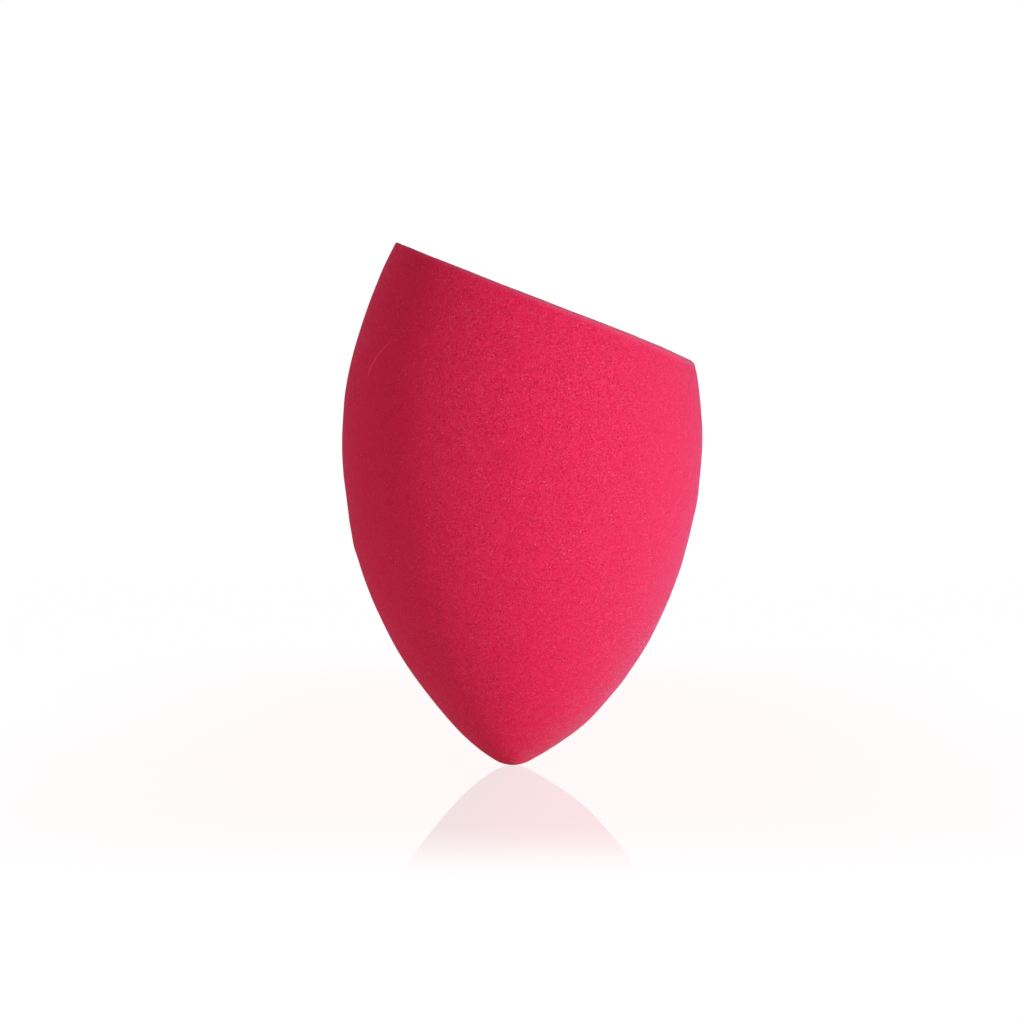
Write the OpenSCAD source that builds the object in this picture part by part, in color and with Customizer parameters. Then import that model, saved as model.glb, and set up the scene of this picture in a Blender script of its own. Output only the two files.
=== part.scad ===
// Water-drop makeup sponge, in millimetres.
// One block of moulded foam, round about Z, whose blunt end is cut off flat and at a slant.
// The tip points down. The foam's own weight presses it flat where it stands, and the middle of
// that flat is the origin. The cut falls towards +X.

/* [Body] */
// Height from the round tip up to the high edge of the cut
body_h = 60; // [52:0.5:68]
// Diameter at the widest level
body_d = 41.3; // [37:0.1:48]
// Height of the widest level above the round tip
widest_h = 37.4; // [33:0.1:42]

/* [Tip and nose] */
// Radius of the rounded tip
tip_r = 4; // [2:0.1:6]
// Depth of the tip that is pressed flat where the foam stands on it
tip_press = 0.8; // [0.4:0.05:1.2]
// Degrees that the tip arc turns through, from the axis out to the nose arc
tip_turn = 31; // [24:0.5:38]
// Radius of the nose arc, between the tip and the flank
nose_r = 30; // [24:0.5:34]

/* [Shoulder and crown] */
// Radius of the shoulder arc, just above the widest level
shoulder_r = 40; // [32:0.5:50]
// Degrees that the shoulder arc turns through before the crown arc takes over
shoulder_turn = 15.5; // [10:0.5:20]
// Radius of the crown arc, between the shoulder and the cut
crown_r = 63.5; // [54:0.5:80]

/* [Cut] */
// Degrees that the cut falls, from its high edge on the left to its low edge on the right
cut_slope = 21.6; // [10:0.2:30]

/* [Hidden] */
$fn = 240;

// How far the uncut blank and the shapes that trim it run past what they leave
overrun = 3;
body_r = body_d / 2;

// Direction at an angle above the horizontal
function direction(angle) = [cos(angle), sin(angle)];

// The outline is a row of arcs, each of which leaves the last one in line with it.
// Every arc is a circle's centre and radius, with the axis at X = 0 and the height above the round
// tip along Y.
tip_centre = [0, tip_r];
nose_start = tip_centre + tip_r * direction(tip_turn - 90);
nose_centre = nose_start - nose_r * direction(tip_turn - 90);

// The flank arc stands upright at the widest level, and its circle touches the nose arc's from outside.
from_nose = [body_r, widest_h] - nose_centre;
flank_r = (from_nose * from_nose - nose_r * nose_r) / (2 * (from_nose.x - nose_r));
flank_centre = [body_r - flank_r, widest_h];
flank_start = flank_centre + (nose_centre - flank_centre) * flank_r / (flank_r - nose_r);

shoulder_centre = [body_r - shoulder_r, widest_h];
crown_start = shoulder_centre + shoulder_r * direction(shoulder_turn);
crown_centre = crown_start - crown_r * direction(shoulder_turn);
blank_h = body_h + overrun;

// Radius of the body at the level of the cut's high edge
high_edge_r = crown_centre.x + sqrt(crown_r * crown_r - pow(body_h - crown_centre.y, 2));

// The part of one arc's circle that lies between two levels, from the axis outwards
module stretch(centre, r, low, high) {
    intersection() {
        translate(centre)
            circle(r);
        translate([0, low])
            square([body_r + overrun, high - low]);
    }
}

// Right half of the blank's section, as it is moulded: not yet cut or pressed
module half_section() {
    stretch(tip_centre, tip_r, 0, nose_start.y);
    stretch(nose_centre, nose_r, nose_start.y, flank_start.y);
    stretch(flank_centre, flank_r, flank_start.y, widest_h);
    stretch(shoulder_centre, shoulder_r, widest_h, crown_start.y);
    stretch(crown_centre, crown_r, crown_start.y, blank_h);
}

// The same section without the depth that the tip loses where it is pressed
module pressed_section() {
    intersection() {
        half_section();
        translate([0, tip_press])
            square([body_r + overrun, blank_h]);
    }
}

// Everything above the cut, which runs down from the high edge
module above_cut() {
    translate([-high_edge_r, 0, body_h])
        rotate([0, cut_slope, 0])
            translate([-body_r, -body_d, 0])
                cube([body_r + 2 * body_d, 2 * body_d, body_h]);
}

module foam_body() {
    color([0.86, 0.16, 0.33])
        translate([0, 0, -tip_press])
            difference() {
                rotate_extrude()
                    pressed_section();
                above_cut();
            }
}

foam_body();
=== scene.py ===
"""Water-drop makeup sponge of pink foam, standing on its tip on a pale glossy floor.

The sponge's lengths are named in millimetres, and turned into metres where Blender needs them.
Heights on it count from its round tip, which the frame puts a little below its origin.
The floor, the lights and the camera are in metres.
"""

import math

import bpy
import numpy as np
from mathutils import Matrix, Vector, noise


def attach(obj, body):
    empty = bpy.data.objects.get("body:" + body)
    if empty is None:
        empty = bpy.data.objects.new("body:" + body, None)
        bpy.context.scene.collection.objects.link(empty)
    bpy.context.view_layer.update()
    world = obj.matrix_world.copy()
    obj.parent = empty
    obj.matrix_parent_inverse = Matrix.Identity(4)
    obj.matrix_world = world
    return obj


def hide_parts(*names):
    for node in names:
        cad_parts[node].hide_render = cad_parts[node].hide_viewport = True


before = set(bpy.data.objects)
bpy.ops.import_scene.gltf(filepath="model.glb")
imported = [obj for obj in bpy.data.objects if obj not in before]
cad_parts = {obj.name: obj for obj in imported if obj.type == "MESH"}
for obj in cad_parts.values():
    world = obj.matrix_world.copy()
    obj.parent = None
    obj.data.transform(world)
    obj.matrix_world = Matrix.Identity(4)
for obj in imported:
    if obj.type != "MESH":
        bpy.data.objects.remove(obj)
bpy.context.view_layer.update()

MM = 0.001

# Outline of the foam, as in the CAD model. Turns and slopes are in degrees.
BODY_H = 60.0
BODY_R = 20.65
WIDEST_H = 37.4
TIP_R = 4.0
TIP_TURN = 31.0
NOSE_R = 30.0
SHOULDER_R = 40.0
SHOULDER_TURN = 15.5
CROWN_R = 63.5
CROWN_TURN = 16.0  # takes the outline past the cut
CUT_SLOPE = 21.6
TIP_PRESS = 0.8  # the CAD model's tip is pressed flat by this much, and its flat is at height 0

# How far apart the outline's points are, and the rows of the mesh
OUTLINE_STEP = 0.02
AROUND = 416
SIDE_ROWS = 176
RIM_ROWS = 8
CUT_ROWS = 46

# The knife left the cut a little low and with slow waves: middle along X, reach, height
CUT_DROP = 0.03
CUT_WAVES = [
    (11.5, 5.5, 0.13),
    (-4.0, 5.0, -0.05),
    (-19.5, 4.5, 0.14),
    (-15.2, 2.4, 0.08),
    (20.0, 2.6, -0.15),
]

# A ripple lies over them: its height, its radians per millimetre along X and Y, and its start
RIPPLE_H = 0.06
RIPPLE_X = 0.11
RIPPLE_Y = 0.19
RIPPLE_START = 0.6

# The rim is crisp at the high edge of the cut, and this much rounder at the low one
RIM_SOFT = 0.17
RIM_WORN = 0.26
RIM_WORN_POWER = 6

# The skin below the rim is paler: worn, with a painted highlight where it turns up to the light
# Width of the worn band below the rim at its high and low side, and where along X it changes
BAND_W = (0.30, 0.95)
BAND_X = (-14.0, 10.0)

# The skin stands out by this much, and by twice as much on the nose, but not at the tip
SKIN_OUT = 0.05
NOSE_TOP = 24.0
NOSE_BLEND = 8.0
TIP_KEPT = 0.6
TIP_BLEND = 3.0

# Swells and dents that the photograph's outline shows: azimuth in degrees, height, depth
# outwards, reach up and reach round
SWELLS = [
    (180, 30.6, -0.085, 2.6, 8.0),
    (180, 25.1, 0.065, 1.0, 6.0),
    (180, 12.0, 0.060, 3.2, 6.0),
    (180, 43.5, 0.050, 2.5, 8.0),
    (0, 30.3, 0.080, 1.9, 8.0),
    (0, 14.0, 0.050, 2.4, 6.0),
    (0, 7.4, -0.080, 1.6, 4.0),
    (180, 37.0, 0.010, 2.0, 8.0),
    (0, 44.6, 0.070, 2.2, 8.0),
]

# Bumps of the whole surface: width, depth, and a shift that keeps the three layers apart
BUMPS = [
    (9.0, 0.050, (0, 0, 0)),
    (3.1, 0.022, (7, 3, 1)),
    (1.1, 0.010, (2, 9, 4)),
]
BUMPS_FADE_H = 1.5  # they fade below this height

# Cells of the cut bulge where a point is much nearer to one cell's middle than to the next one's:
# their width, the rise per width of that lead, the largest lead that counts, and the mean taken off
CELL_W = 1.25
CELL_RISE = 0.05
CELL_LEAD = 0.5
CELL_MEAN = 0.02

# The soft nose and tip were pushed over to the left
NOSE_LEAN = -0.22
NOSE_LEAN_BLEND = 16.0
TIP_LEAN = -0.9
TIP_LEAN_H = 4.0


def direction(degrees):
    return np.array([math.cos(math.radians(degrees)), math.sin(math.radians(degrees))])


def blank_outline():
    """Points (radius, height) from the tip up past the cut, and the centre of the crown's arc.

    The outline is a row of five arcs, each of which leaves the last one in line with it.
    """
    tip_c = np.array([0.0, TIP_R])
    nose_start = tip_c + TIP_R * direction(TIP_TURN - 90)
    nose_c = nose_start - NOSE_R * direction(TIP_TURN - 90)
    from_nose = np.array([BODY_R, WIDEST_H]) - nose_c
    flank_r = (from_nose @ from_nose - NOSE_R**2) / (2 * (from_nose[0] - NOSE_R))
    flank_c = np.array([BODY_R - flank_r, WIDEST_H])
    away = nose_c - flank_c
    meet = math.degrees(math.atan2(away[1], away[0]))
    shoulder_c = np.array([BODY_R - SHOULDER_R, WIDEST_H])
    crown_c = shoulder_c + (SHOULDER_R - CROWN_R) * direction(SHOULDER_TURN)
    arcs = [
        (tip_c, TIP_R, -90, TIP_TURN - 90),
        (nose_c, NOSE_R, TIP_TURN - 90, meet),
        (flank_c, flank_r, meet, 0),
        (shoulder_c, SHOULDER_R, 0, SHOULDER_TURN),
        (crown_c, CROWN_R, SHOULDER_TURN, SHOULDER_TURN + CROWN_TURN),
    ]
    points = []
    for centre, r, start, end in arcs:
        count = int(math.radians(end - start) * r / OUTLINE_STEP)
        for angle in np.linspace(start, end, count, endpoint=False):
            points.append(centre + r * direction(angle))
    return np.array(points), crown_c


outline, crown_c = blank_outline()
along = np.concatenate([[0], np.cumsum(np.hypot(*np.diff(outline, axis=0).T))])
high_edge_r = crown_c[0] + math.sqrt(CROWN_R**2 - (BODY_H - crown_c[1]) ** 2)


def outline_at(distance):
    """Radius and height of the points that lie this far along the outline."""
    return np.interp(distance, along, outline[:, 0]), np.interp(distance, along, outline[:, 1])


def cut_height(x, y):
    height = BODY_H - CUT_DROP - (x + high_edge_r) * math.tan(math.radians(CUT_SLOPE))
    for middle, reach, size in CUT_WAVES:
        height = height + size * np.exp(-(((x - middle) / reach) ** 2))
    return height + RIPPLE_H * np.sin(RIPPLE_Y * y + RIPPLE_START) * np.cos(RIPPLE_X * x)


def distance_to_cut(cos, sin):
    """How far along the outline the cut lies, at each azimuth."""
    radius = outline[:, :1]
    above = outline[:, 1:] - cut_height(radius * cos, radius * sin)
    after = (above > 0).argmax(axis=0)
    before = after - 1
    azimuth = np.arange(AROUND)
    low = above[before, azimuth]
    high = above[after, azimuth]
    return along[before] + low / (low - high) * (along[after] - along[before])


def rim_rows(start, corner, end):
    """Rows that bend from the side over to the cut, with the sharp corner as their control point."""
    rows = []
    for t in np.linspace(0, 1, RIM_ROWS + 1)[1:]:
        shares = ((1 - t) ** 2, 2 * t * (1 - t), t**2)
        r = shares[0] * start[0] + shares[1] * corner[0] + shares[2] * end[0]
        z = shares[0] * start[1] + shares[1] * corner[1] + shares[2] * end[1]
        rows.append((r, z))
    return rows


def worn_highlight_band(count, to_cut, soft, corner_x):
    """How near each point of so many rows is to the rim: 1 on it, and 0 past the worn and highlighted
    band.
    """
    low_side = np.clip((corner_x - BAND_X[0]) / (BAND_X[1] - BAND_X[0]), 0, 1)
    band = BAND_W[0] + (BAND_W[1] - BAND_W[0]) * low_side
    near_rim = np.zeros((count, AROUND))
    for row in range(SIDE_ROWS):
        below = to_cut - (to_cut - soft) * (row + 1) / SIDE_ROWS
        near_rim[row] = np.clip(1 - below / band, 0, 1)
    half = RIM_ROWS // 2
    for row in range(half):
        part = (row + 1) / half
        near_rim[SIDE_ROWS + row] = np.clip(1 - soft * (1 - part) / band, 0, 1)
        near_rim[SIDE_ROWS + half + row] = 1 - part
    return near_rim


def section_rows():
    """The smooth surface as rows of points round the axis, from the tip to the middle of the cut.

    With them come how near each point is to the rim, and the height of the cut's middle.
    """
    phi = np.linspace(0, 2 * math.pi, AROUND, endpoint=False)
    cos = np.cos(phi)
    sin = np.sin(phi)
    to_cut = distance_to_cut(cos, sin)
    soft = RIM_SOFT + RIM_WORN * ((1 + cos) / 2) ** RIM_WORN_POWER
    rows = []
    for t in np.linspace(0, 1, SIDE_ROWS + 1)[1:]:
        rows.append(outline_at((to_cut - soft) * t))

    corner = outline_at(to_cut)
    centre_h = cut_height(0.0, 0.0)
    run = np.hypot(corner[0], corner[1] - centre_h)
    end_r = corner[0] * (1 - soft / run)
    end = (end_r, cut_height(end_r * cos, end_r * sin))
    rows += rim_rows(rows[-1], corner, end)
    for t in np.linspace(0, 1, CUT_ROWS + 1)[1:-1]:
        r = end_r * (1 - t)
        rows.append((r, cut_height(r * cos, r * sin)))
    grid = np.array([np.stack([r * cos, r * sin, z], axis=1) for r, z in rows])
    return grid, worn_highlight_band(len(rows), to_cut, soft, corner[0] * cos), centre_h


def swelling(points):
    """How far each point of the skin stands out from the smooth surface."""
    height = points[:, 2]
    phi = np.arctan2(points[:, 1], points[:, 0])
    on_nose = np.clip((NOSE_TOP - height) / NOSE_BLEND, 0, 1)
    off_tip = np.clip((height - TIP_KEPT) / TIP_BLEND, 0, 1)
    out = SKIN_OUT * (1 + on_nose) * off_tip
    for azimuth, middle, size, reach_up, reach_round in SWELLS:
        turn = (phi - math.radians(azimuth) + math.pi) % (2 * math.pi) - math.pi
        arc = turn * np.hypot(points[:, 0], points[:, 1])
        out += size * np.exp(-(((height - middle) / reach_up) ** 2) - (arc / reach_round) ** 2)
    return out


def bumps(point, on_cut):
    """How far one point is moved by the small bumps and, on the cut, by the cells."""
    place = Vector(point)
    moved = 0.0
    for width, depth, shift in BUMPS:
        moved += depth * noise.noise(place / width + Vector(shift))
    if on_cut:
        nearest = noise.voronoi(place / CELL_W)[0]
        moved += CELL_RISE * min(nearest[1] - nearest[0], CELL_LEAD) - CELL_MEAN
    return moved


def lean(z):
    """How far the foam's middle lies from the axis at this height."""
    t = np.clip((z - NOSE_TOP) / NOSE_LEAN_BLEND, 0, 1)
    return NOSE_LEAN * (1 - t * t * (3 - 2 * t)) + TIP_LEAN * np.exp(-((z / TIP_LEAN_H) ** 2))


def uneven(points, normals, on_cut):
    """Moves each point in or out by the foam's own unevenness, and sideways by its lean."""
    small = np.array([bumps(point, cut) for point, cut in zip(points, on_cut)])
    small *= np.clip(points[:, 2] / BUMPS_FADE_H, 0, 1)
    large = np.where(on_cut, 0, swelling(points))
    moved = points + normals * (large + small)[:, None]
    moved[:, 0] += lean(moved[:, 2])
    return moved


def make_sponge():
    """One closed mesh: a fan at the tip, the rows, and a fan in the middle of the cut."""
    grid, near_rim, centre_h = section_rows()
    points = np.vstack([[[0, 0, 0]], grid.reshape(-1, 3), [[0, 0, centre_h]]])
    following = [(i + 1) % AROUND for i in range(AROUND)]
    faces = []
    for i in range(AROUND):
        faces.append((0, 1 + following[i], 1 + i))
    for row in range(len(grid) - 1):
        low = 1 + row * AROUND
        high = low + AROUND
        for i in range(AROUND):
            faces.append((low + i, low + following[i], high + following[i], high + i))
    inner = 1 + (len(grid) - 1) * AROUND
    for i in range(AROUND):
        faces.append((inner + i, inner + following[i], len(points) - 1))
    mesh = bpy.data.meshes.new("foam_sponge")
    mesh.from_pydata(points.tolist(), [], faces)
    mesh.update()
    normals = np.empty(len(points) * 3)
    mesh.vertices.foreach_get("normal", normals)

    skin_rows = SIDE_ROWS + RIM_ROWS - 1
    on_cut = np.zeros(len(points), bool)
    on_cut[1 + skin_rows * AROUND:] = True
    moved = uneven(points, normals.reshape(-1, 3), on_cut)
    moved[:, 2] -= TIP_PRESS
    mesh.vertices.foreach_set("co", (moved * MM).ravel())
    mesh.polygons.foreach_set("use_smooth", np.ones(len(faces), bool))
    slots = np.zeros(len(faces), np.int32)
    slots[skin_rows * AROUND:] = 1
    mesh.polygons.foreach_set("material_index", slots)
    rim = mesh.attributes.new("rim", "FLOAT", "POINT")
    rim.data.foreach_set("value", np.concatenate([[0], near_rim.ravel(), [0]]))
    mesh.update()
    sponge = bpy.data.objects.new("foam_sponge", mesh)
    bpy.context.scene.collection.objects.link(sponge)
    return sponge


class Nodes:
    """Short ways to add and join the nodes of one material or world."""

    def __init__(self, owner):
        owner.use_nodes = True
        self.tree = owner.node_tree
        self.tree.nodes.clear()

    def put(self, socket, value):
        """Joins another node's output to a socket, or sets the socket's own value."""
        if isinstance(value, bpy.types.NodeSocket):
            self.tree.links.new(value, socket)
        else:
            socket.default_value = value

    def put_all(self, node, values):
        """The same for sockets that are given by name."""
        for name, value in values.items():
            self.put(node.inputs[name], value)

    def add(self, kind, *values, **settings):
        """A new node with these settings, whose first sockets get these values."""
        node = self.tree.nodes.new(kind)
        for name, setting in settings.items():
            setattr(node, name, setting)
        for socket, value in zip(node.inputs, values):
            self.put(socket, value)
        return node

    def get(self, kind, *values, **settings):
        """The first output of a new node."""
        return self.add(kind, *values, **settings).outputs[0]

    def split(self, kind, value):
        """The three parts of a place or a colour."""
        return self.add(kind, value).outputs[:3]

    def math(self, operation, a, b=0.0, clamp=False):
        return self.get("ShaderNodeMath", a, b, operation=operation, use_clamp=clamp)

    def span(self, value, low, high, to_low=0.0, to_high=1.0, smooth=True):
        """Takes low to to_low and high to to_high, and holds what lies past them."""
        blend = "SMOOTHSTEP" if smooth else "LINEAR"
        return self.get("ShaderNodeMapRange", value, low, high, to_low, to_high, interpolation_type=blend)

    def mix(self, factor, a, b):
        """Mixes two colours, which a Mix node takes at its sockets 6 and 7 and gives at its output 2."""
        node = self.add("ShaderNodeMix", data_type="RGBA")
        self.put(node.inputs[0], factor)
        self.put(node.inputs[6], a)
        self.put(node.inputs[7], b)
        return node.outputs[2]

    def noise_at(self, place, scale, detail, rough, output="Fac"):
        node = self.add("ShaderNodeTexNoise")
        self.put_all(node, {"Vector": place, "Scale": scale, "Detail": detail, "Roughness": rough})
        return node.outputs[output]

    def cells_at(self, place, width, feature="F1"):
        """Outputs of a cell texture: each cell's own colour, and the distance to its middle or edge."""
        node = self.add("ShaderNodeTexVoronoi", feature=feature)
        self.put_all(node, {"Vector": place, "Scale": 1 / width})
        return node.outputs


PINK = (0.822, 0.0120, 0.0845)

# Tints of the foam: how many times its red, green and blue they hold
SHADED = (0.885, 0.0, 0.56)  # the depth of a cell
LIT = (1.155, 4.1, 1.83)  # a wall in full light
# The loose ends of walls are light dots, whitened further as a painted glint
SPECK_GLINT = (1.25, 13.0, 4.2)  # the loose end of a wall
MOTTLED = (0.95, 0.8, 0.86)
PATCHED = (1.04, 1.2, 1.1)
FIBRE = (1.15, 5.0, 2.4)
# Worn skin below the rim, paler still by a painted highlight
WORN_AND_HIGHLIGHT = (0.84, 12.0, 2.7)
# The rim's line: the cut edge's greyer skin, darkened by painted shade
RIM_SHADOW_LINE = (0.40, 8.0, 1.7)

# Noises: scale per millimetre, detail and roughness
GRAIN = (6.0, 3.0, 0.6)
WALL_BEND = (2.6, 1.0, 0.55)
CLUMP = (1.1, 1.0, 0.55)
MOTTLE = (0.9, 2.0, 0.55)
PATCH = (0.09, 1.0, 0.55)
NOISE_MEAN = 0.5

# Spans take their first two values to their last two. Where they have only two, these go to 0 and 1
# or to what the call says.
WALL_CREST = (0.16, 0.02)  # distance from a cell's edge, in cells
WALL_BREAK = (0.42, 0.58)
SPECK_R = (0.26, 0.10)  # distance from a cell's middle, in cells
SPECK_PICK = (0.76, 0.90)  # of the keys between 0 and 1 that the cells have
CLUMP_TONE = (0.38, 0.62, 0.70, 1.30)
MOTTLE_SHARE = (0.3, 0.7, 0.0, 0.30)
PATCH_SHARE = (0.35, 0.65, 0.0, 0.10)
RIM_SHADOW_SHARE = (0.55, 1.0, 0.0, 0.50)
# The grain follows the light, painted in: weaker in the shade at the far left and facing the key at the
# right
SMOOTH_LEFT = (-14.0, -7.0, 0.55, 1.0)  # the grain is weaker at the far left and right, along X
SMOOTH_RIGHT = (11.0, 19.0, 1.0, 0.60)
ROUGH_GRAIN = (0.3, 0.7)

# How far each mark moves the tone, and the marks' sizes
MEAN_TONE = 0.34
GRAIN_TONE = 2.9
WALL_TONE = 0.35
WALL_CURL = 0.9  # in cells
PORE_R = (0.16, 0.36)  # the smallest and the largest, in cells
PORE_POWER = 0.6
PORE_PICK_STEP = 0.08  # from a closed cell's key to an open one's
SPECK_CELL = 1.35  # in pores
WORN_HIGHLIGHT_SHARE = 0.50
ROUGHNESS_STEP = 0.06

# The stray fibre on the front: its middle, its slope and bend there, and where it fades
FIBRE_X = -16.88
FIBRE_Z = 45.8
FIBRE_SLOPE = 0.66
FIBRE_BEND = 0.12
FIBRE_ACROSS = (0.14, 0.04)
FIBRE_ALONG = (2.3, 1.6)
FIBRE_FRONT = (0.0, -1.0)


def tinted(tint):
    """The foam's colour with its red, green and blue multiplied by a tint."""
    return tuple(min(1, c * share) for c, share in zip(PINK, tint)) + (1,)


def walls(n, at, width):
    """Cell walls: curly broken ridges that catch the light."""
    bends = n.noise_at(at, *WALL_BEND, output="Color")
    curled = n.get("ShaderNodeVectorMath", bends, (width * WALL_CURL,) * 3, at, operation="MULTIPLY_ADD")
    edge = n.cells_at(curled, width, "DISTANCE_TO_EDGE")["Distance"]
    unbroken = n.span(n.noise_at(at, *WALL_BEND), *WALL_BREAK)
    return n.math("MULTIPLY", n.span(edge, *WALL_CREST), unbroken)


def pores(n, at, width, share):
    """Open pores: the middle of some cells only."""
    cells = n.cells_at(at, width)
    keys = n.split("ShaderNodeSeparateColor", cells["Color"])
    chosen = n.span(keys[0], 1 - share, 1 - share + PORE_PICK_STEP)
    radius = n.span(keys[1], 0.0, 1.0, *PORE_R, smooth=False)
    inside = n.math("SUBTRACT", 1.0, n.math("DIVIDE", cells["Distance"], radius), clamp=True)
    return n.math("MULTIPLY", n.math("POWER", inside, PORE_POWER), chosen)


def wall_ends(n, at, width):
    """Loose ends of cut walls, seen as small light dots in a few cells, whitened as painted glints."""
    cells = n.cells_at(at, width)
    keys = n.split("ShaderNodeSeparateColor", cells["Color"])
    return n.math("MULTIPLY", n.span(cells["Distance"], *SPECK_R), n.span(keys[2], *SPECK_PICK))


def stray_fibre(n, at):
    """A fine curved fibre that lies on the skin, near the cut on the left."""
    x, y, z = n.split("ShaderNodeSeparateXYZ", at)
    up = n.math("SUBTRACT", z, FIBRE_Z)
    slope = n.math("ADD", n.math("MULTIPLY", up, FIBRE_BEND), FIBRE_SLOPE)
    off = n.math("SUBTRACT", n.math("SUBTRACT", x, FIBRE_X), n.math("MULTIPLY", slope, up))
    across = n.span(n.math("ABSOLUTE", off), *FIBRE_ACROSS)
    lengthways = n.span(n.math("ABSOLUTE", up), *FIBRE_ALONG)
    return n.math("MULTIPLY", n.math("MULTIPLY", across, lengthways), n.span(y, *FIBRE_FRONT))


def foam_colour(n, at, tone, speck):
    """The tone's colour, what lies over it, then the worn band's painted highlight and the rim's painted
    shade.
    """
    base = n.mix(n.math("ADD", tone, MEAN_TONE), tinted(SHADED), tinted(LIT))
    # Light dots of wall ends, whitened as painted glints
    base = n.mix(speck, base, tinted(SPECK_GLINT))
    base = n.mix(n.span(n.noise_at(at, *MOTTLE), *MOTTLE_SHARE), base, tinted(MOTTLED))
    base = n.mix(n.span(n.noise_at(at, *PATCH), *PATCH_SHARE), base, tinted(PATCHED))
    base = n.mix(stray_fibre(n, at), base, tinted(FIBRE))
    near_rim = n.add("ShaderNodeAttribute", attribute_name="rim").outputs["Fac"]
    # The worn band below the rim, paler still by a painted highlight where the edge turns up to the light
    base = n.mix(n.math("MULTIPLY", near_rim, WORN_HIGHLIGHT_SHARE), base, tinted(WORN_AND_HIGHLIGHT))
    # On the rim itself a greyer line: the cut edge's thin skin, darkened by painted shade
    return n.mix(n.span(near_rim, *RIM_SHADOW_SHARE), base, tinted(RIM_SHADOW_LINE))


def foam_material(name, cell, pore_size, pore_share, pore_tone, relief, roughness):
    """Soft matte open-cell foam. Sizes and relief are in millimetres."""
    mat = bpy.data.materials.new(name)
    n = Nodes(mat)
    scaled = n.add("ShaderNodeMapping", n.add("ShaderNodeTexCoord").outputs["Object"])
    scaled.inputs["Scale"].default_value = (1 / MM,) * 3
    at = scaled.outputs[0]
    x = n.split("ShaderNodeSeparateXYZ", at)[0]

    # One tone runs from the shaded depth of a cell to a wall in full light
    grain = n.noise_at(at, *GRAIN)
    wall = walls(n, at, cell)
    pore = pores(n, at, pore_size, pore_share)
    tone = n.math("MULTIPLY", n.math("SUBTRACT", grain, NOISE_MEAN), GRAIN_TONE)
    tone = n.math("ADD", tone, n.math("MULTIPLY", wall, WALL_TONE))
    tone = n.math("SUBTRACT", tone, n.math("MULTIPLY", pore, pore_tone))
    tone = n.math("MULTIPLY", tone, n.span(n.noise_at(at, *CLUMP), *CLUMP_TONE))
    # Painted lighting: the grain and its glints fade in the shade at the left and where the key faces at
    # the right
    left = n.span(x, *SMOOTH_LEFT)
    right = n.span(x, *SMOOTH_RIGHT)
    tone = n.math("MULTIPLY", tone, n.math("MULTIPLY", left, right))
    speck = n.math("MULTIPLY", wall_ends(n, at, pore_size * SPECK_CELL), right)

    bump = n.add("ShaderNodeBump")
    height = n.math("MULTIPLY", n.math("ADD", tone, speck), relief)
    n.put_all(bump, {"Strength": 1.0, "Distance": MM, "Height": height})

    rough = n.span(grain, *ROUGH_GRAIN, roughness + ROUGHNESS_STEP, roughness - ROUGHNESS_STEP)
    shader = n.add("ShaderNodeBsdfPrincipled")
    n.put_all(shader, {
        "Base Color": foam_colour(n, at, tone, speck),
        "Roughness": rough,
        "Normal": bump.outputs[0],
        "IOR": 1.45,
        "Specular IOR Level": 0.5,
        "Subsurface Weight": 0.25,
        "Subsurface Radius": (1.0, 0.22, 0.3),
        "Subsurface Scale": 0.7 * MM,
        "Sheen Weight": 0.28,
        "Sheen Roughness": 0.15,
        "Sheen Tint": (0.38, 0.9, 1.0, 1),
    })
    n.add("ShaderNodeOutputMaterial", shader.outputs[0])
    return mat


sponge = make_sponge()
foam_skin = foam_material(
    "foam_skin",
    cell=0.30,
    pore_size=0.28,
    pore_share=0.22,
    pore_tone=0.95,
    relief=0.045,
    roughness=0.85,
)
foam_cut = foam_material(
    "foam_cut",
    cell=0.50,
    pore_size=0.55,
    pore_share=0.75,
    pore_tone=1.2,
    relief=0.07,
    roughness=0.9,
)
sponge.data.materials.append(foam_skin)
sponge.data.materials.append(foam_cut)
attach(sponge, "root")
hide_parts("foam_body")

# The floor lies where the round tip touches it
FLOOR_HALF_W = 8.0
FLOOR_Z = -TIP_PRESS * MM

# What the camera sees of the floor is a card's own light and a little of the lamps', white together.
# Near the sponge a faint painted pink, bounce and shade from the foam, fades sideways, behind and before
# it.
CARD = (0.97, 0.97, 0.97, 1)
CARD_BOUNCE_PINK = (0.96, 0.8928, 0.8928, 1)
CARD_LIT = (0.10, 0.095, 0.095, 1)
PINK_SIDEWAYS = (0.087, 0.0174)
PINK_BEHIND = (2.9, 0.35)
PINK_BEFORE = (-1.15, -0.45)

# The floor's mirror, which fades towards the viewer
MIRROR_IOR = 1.15
MIRROR_FADE = (-0.94, -0.575)
MIRROR_SHARE = 0.216

# Pure white is 1. The fill is warm and comes more from the floor than from above.
FILL = 0.40
FLOOR_WHITE = (0.85, 0.85, 0.85, 1)
FLOOR_GLOW = 0.180
WARM = (1.0, 0.60, 0.73)
COOL = (1.0, 1.38, 1.32)

# The foam's gloss finds this colour at the right, in a lamp and on the floor. There it starts and
# ends between these places along X.
SHINE = (0.4, 1.15, 1.5)
FLOOR_SHINE = 5.0
SHINE_START = (0.0, 0.03)
SHINE_END = (0.25, 0.05)

# The lamps face the middle of the sponge
LIGHTS_AIM = Vector((0, 0, 0.03))

# The photograph is this wide at the sponge, and its camera looks level along +Y
VIEW_W = 117.7 * MM
CAMERA_X = -1.206 * MM
CAMERA_Z = (29.08 - TIP_PRESS) * MM
CAMERA_DISTANCE = 3.0
SENSOR_W = 36.0  # in millimetres, as the lens is


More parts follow.
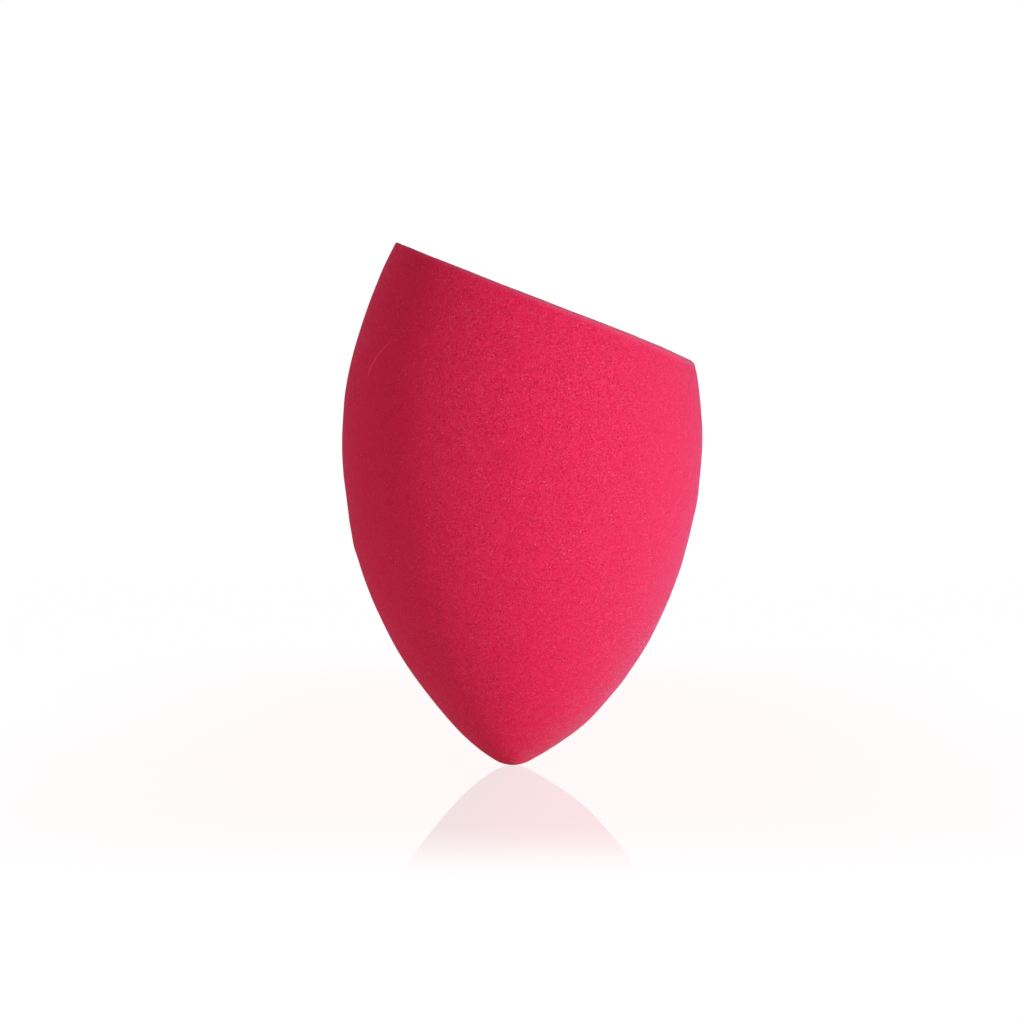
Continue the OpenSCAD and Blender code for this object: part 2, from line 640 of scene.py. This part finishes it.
def floor_material():
    """A card that the camera sees with painted pink bounce, a weak mirror, and what the floor sends up to
    the foam.
    """
    mat = bpy.data.materials.new("pale_gloss")
    n = Nodes(mat)
    place = n.add("ShaderNodeTexCoord").outputs["Object"]
    x, y, _ = n.split("ShaderNodeSeparateXYZ", place)
    path = n.add("ShaderNodeLightPath").outputs

    # Painted pink bounce and shade from the foam, near the sponge
    sideways = n.span(n.math("ABSOLUTE", x), *PINK_SIDEWAYS)
    lengthways = n.math("MULTIPLY", n.span(y, *PINK_BEHIND), n.span(y, *PINK_BEFORE))
    near = n.math("MULTIPLY", sideways, lengthways)
    card = n.get("ShaderNodeEmission", n.mix(near, CARD, CARD_BOUNCE_PINK))
    lit = n.get("ShaderNodeBsdfDiffuse", CARD_LIT)
    bright = n.get("ShaderNodeAddShader", card, lit)
    mirror = n.add("ShaderNodeBsdfGlossy")
    n.put_all(mirror, {"Color": (1, 1, 1, 1), "Roughness": 0.0})
    fresnel = n.get("ShaderNodeFresnel", MIRROR_IOR)
    share = n.math("MULTIPLY", fresnel, n.span(y, *MIRROR_FADE, 0.0, MIRROR_SHARE))
    shown = n.get("ShaderNodeMixShader", share, bright, mirror.outputs[0])

    bounce = n.get("ShaderNodeBsdfDiffuse", FLOOR_WHITE)
    glow = n.get("ShaderNodeEmission", WARM + (1,), FLOOR_GLOW)
    upward = n.get("ShaderNodeAddShader", bounce, glow)
    strength = n.math("MULTIPLY", n.span(x, *SHINE_START, 0.0, FLOOR_SHINE), n.span(x, *SHINE_END))
    shine = n.get("ShaderNodeEmission", SHINE + (1,), strength)
    sent = n.get("ShaderNodeMixShader", path["Is Glossy Ray"], upward, shine)
    seen = n.get("ShaderNodeMixShader", path["Is Camera Ray"], sent, shown)
    n.add("ShaderNodeOutputMaterial", seen)
    return mat


def make_floor():
    mesh = bpy.data.meshes.new("floor")
    corners = []
    for x, y in ((-1, -1), (1, -1), (1, 1), (-1, 1)):
        corners.append((x * FLOOR_HALF_W, y * FLOOR_HALF_W, FLOOR_Z))
    mesh.from_pydata(corners, [], [(0, 1, 2, 3)])
    mesh.materials.append(floor_material())
    floor = bpy.data.objects.new("floor", mesh)
    bpy.context.scene.collection.objects.link(floor)


def make_world():
    """White where the camera or the floor's mirror looks, a warm fill for the foam, none for its gloss."""
    world = bpy.data.worlds.new("studio")
    n = Nodes(world)
    path = n.add("ShaderNodeLightPath").outputs
    strength = n.span(path["Is Glossy Ray"], 0.0, 1.0, FILL, 0.0, smooth=False)
    fill = n.get("ShaderNodeBackground", WARM + (1,), strength)
    white = n.get("ShaderNodeBackground", (1, 1, 1, 1), 1.0)
    seen = n.math("MAXIMUM", path["Is Camera Ray"], path["Is Singular Ray"])
    n.add("ShaderNodeOutputWorld", n.get("ShaderNodeMixShader", seen, fill, white))
    world.cycles.sampling_method = "NONE"
    bpy.context.scene.world = world


def softbox(name, azimuth, elevation, distance, size, strength, colour, diffuse=True, gloss=True):
    """A square light that faces the sponge. Azimuth 0 is the camera's side and 90 is the right.

    Its strength is what a white card that faces it would show.
    """
    data = bpy.data.lights.new(name, "AREA")
    data.shape = "SQUARE"
    data.size = size
    data.color = colour
    data.energy = strength * (math.pi * distance) ** 2
    lamp = bpy.data.objects.new(name, data)
    bpy.context.scene.collection.objects.link(lamp)
    turn = math.radians(azimuth)
    rise = math.radians(elevation)
    level = math.cos(rise)
    away = Vector((math.sin(turn) * level, -math.cos(turn) * level, math.sin(rise)))
    lamp.location = LIGHTS_AIM + away * distance
    lamp.rotation_mode = "QUATERNION"
    lamp.rotation_quaternion = away.to_track_quat("Z", "Y")
    lamp.visible_diffuse = diffuse
    lamp.visible_glossy = gloss


def make_lights():
    """A soft key from the front right, a gloss at the right, and a weak warm light from behind."""
    softbox(
        "key_light",
        azimuth=46.7,
        elevation=7.5,
        distance=1.5,
        size=0.3,
        strength=0.66,
        colour=COOL,
        gloss=False,
    )
    softbox(
        "side_shine",
        azimuth=98,
        elevation=4,
        distance=0.9,
        size=0.5,
        strength=0.50,
        colour=SHINE,
        diffuse=False,
    )
    softbox(
        "back_light",
        azimuth=220,
        elevation=12,
        distance=1.2,
        size=0.5,
        strength=0.18,
        colour=WARM,
        gloss=False,
    )


def make_camera():
    data = bpy.data.cameras.new("camera")
    data.sensor_width = SENSOR_W
    data.lens = SENSOR_W * CAMERA_DISTANCE / VIEW_W
    camera = bpy.data.objects.new("camera", data)
    camera.location = (CAMERA_X, -CAMERA_DISTANCE, CAMERA_Z)
    camera.rotation_euler = (math.radians(90), 0, 0)
    bpy.context.scene.collection.objects.link(camera)
    bpy.context.scene.camera = camera


make_floor()
make_world()
make_lights()
make_camera()
bpy.context.scene.view_settings.view_transform = "Standard"
bpy.context.scene.view_settings.look = "None"
